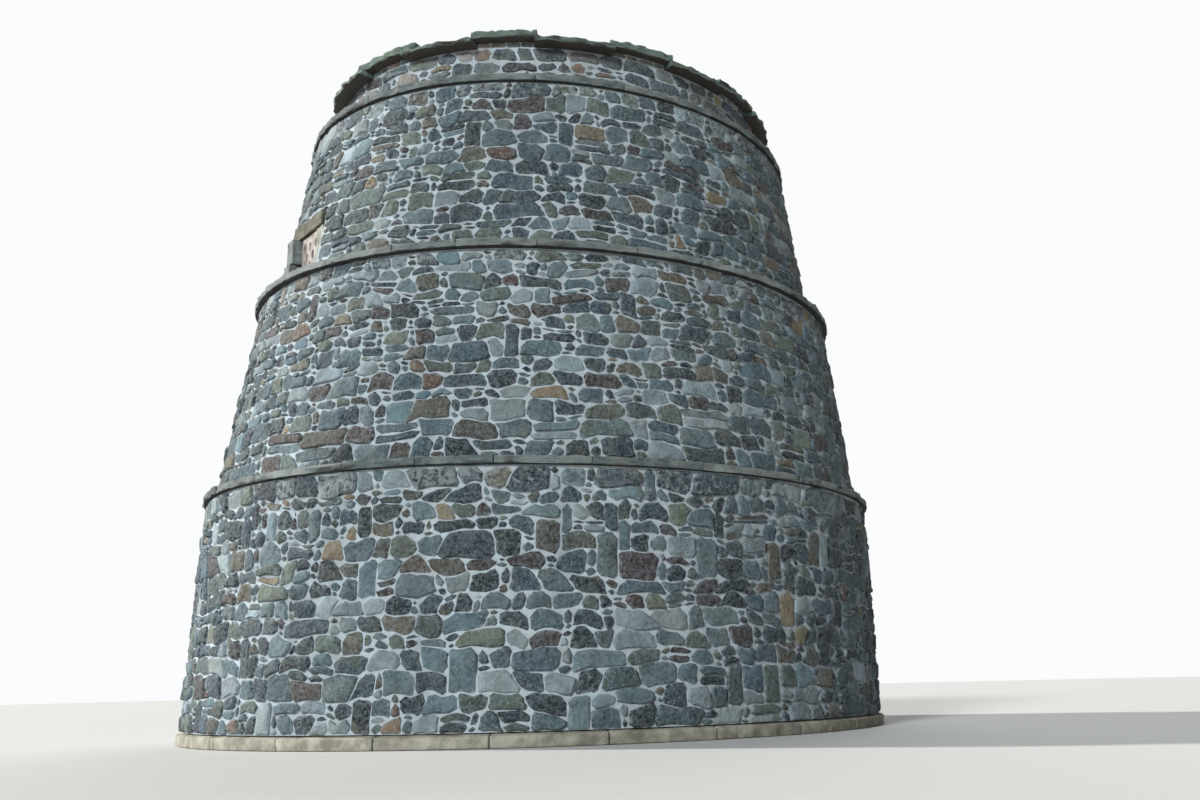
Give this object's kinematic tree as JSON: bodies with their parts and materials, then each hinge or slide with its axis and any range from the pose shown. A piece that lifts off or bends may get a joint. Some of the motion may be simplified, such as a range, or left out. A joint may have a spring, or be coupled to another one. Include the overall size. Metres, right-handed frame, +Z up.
{
  "type": "stone dovecote",
  "caption": "Round battered stone dovecote of the beehive kind: rubble wall in stages with projecting string courses, slab eaves, vaulted roof with an open crown, flight holes and low door.",
  "frame": {"origin": "centre of the round base on the ground", "axes": "+Z up along the tower's axis; the flight holes face -Y; the doorway faces -X; the picture looks at the side between +X and -Y, at about 60 degrees from -Y towards +X"},
  "size_m": [8.1, 8.1, 8.5239],
  "materials": {
    "whinstone_rubble": "matte",
    "whinstone_slab": "matte",
    "dressed_sandstone": "matte",
    "weathered_boards": "matte",
    "wrought_iron": "matte"
  },
  "bodies": {
    "root": {"lower_wall_1": "whinstone_rubble", "lower_wall_2": "whinstone_rubble", "lower_wall_3": "whinstone_rubble", "lower_wall_4": "whinstone_rubble", "lower_wall_5": "whinstone_rubble", "lower_wall_left_of_door": "whinstone_rubble", "lower_wall_right_of_door": "whinstone_rubble", "lower_wall_over_door": "whinstone_rubble", "middle_wall_1": "whinstone_rubble", "middle_wall_2": "whinstone_rubble", "middle_wall_3": "whinstone_rubble", "middle_wall_4": "whinstone_rubble", "middle_wall_5": "whinstone_rubble", "middle_wall_6": "whinstone_rubble", "upper_wall_1": "whinstone_rubble", "upper_wall_2": "whinstone_rubble", "upper_wall_3": "whinstone_rubble", "upper_wall_4": "whinstone_rubble", "upper_wall_5": "whinstone_rubble", "upper_wall_left_of_flight_holes": "whinstone_rubble", "upper_wall_right_of_flight_holes": "whinstone_rubble", "upper_wall_over_flight_holes": "whinstone_rubble", "wallhead": "whinstone_rubble", "eaves_packing": "whinstone_rubble", "roof_vault": "whinstone_rubble", "lower_string_course": "whinstone_slab", "middle_string_course": "whinstone_slab", "upper_string_course": "whinstone_slab", "eaves_under_slabs": "whinstone_slab", "eaves_over_slabs": "whinstone_slab", "lower_roof_flags": "whinstone_slab", "middle_roof_flags": "whinstone_slab", "upper_roof_flags": "whinstone_slab", "base_course": "dressed_sandstone", "oculus_kerb": "dressed_sandstone", "flight_hole_panel": "dressed_sandstone", "flight_hole_jambs": "dressed_sandstone", "flight_hole_lintel": "dressed_sandstone", "door_threshold": "dressed_sandstone", "door_jambs": "dressed_sandstone", "door_lintel": "dressed_sandstone", "door_leaf": "weathered_boards", "door_ledges": "weathered_boards", "door_bands": "wrought_iron", "door_crooks": "wrought_iron", "door_ring": "wrought_iron"}
  },
  "joints": []
}
